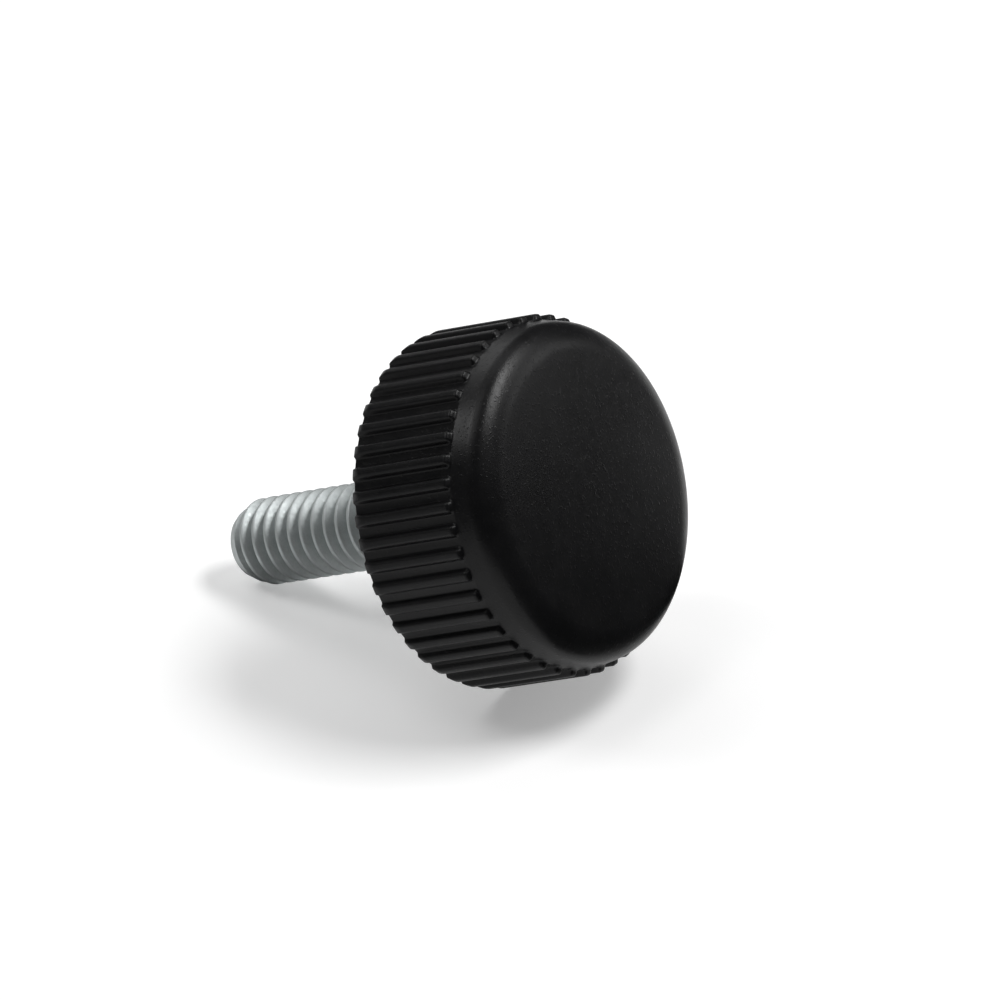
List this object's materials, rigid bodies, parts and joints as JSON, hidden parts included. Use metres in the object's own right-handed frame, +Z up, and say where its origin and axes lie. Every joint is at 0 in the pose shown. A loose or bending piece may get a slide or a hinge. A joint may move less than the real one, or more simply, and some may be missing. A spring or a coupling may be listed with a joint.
{
  "type": "knurled knob",
  "caption": "Round hand knob with a finely ribbed rim, a smooth domed crown and a metal stud with a right-hand machine thread, for clamping and adjusting by hand.",
  "frame": {"origin": "centre of the bounding box in plan, on the ground that the knob lies on", "axes": "+Z up from the ground. +X runs from the stud's tip to the crown along the ground, below the knob's own axis, which rises towards the crown. +Y is across, to the left when looking along +X."},
  "size_m": [0.0425, 0.0318, 0.0327],
  "materials": {
    "black_plastic": "satin, finely grained",
    "plated_steel": "dull zinc plating"
  },
  "bodies": {
    "root": {"knob_head": "black_plastic", "threaded_stud": "plated_steel"}
  },
  "joints": []
}
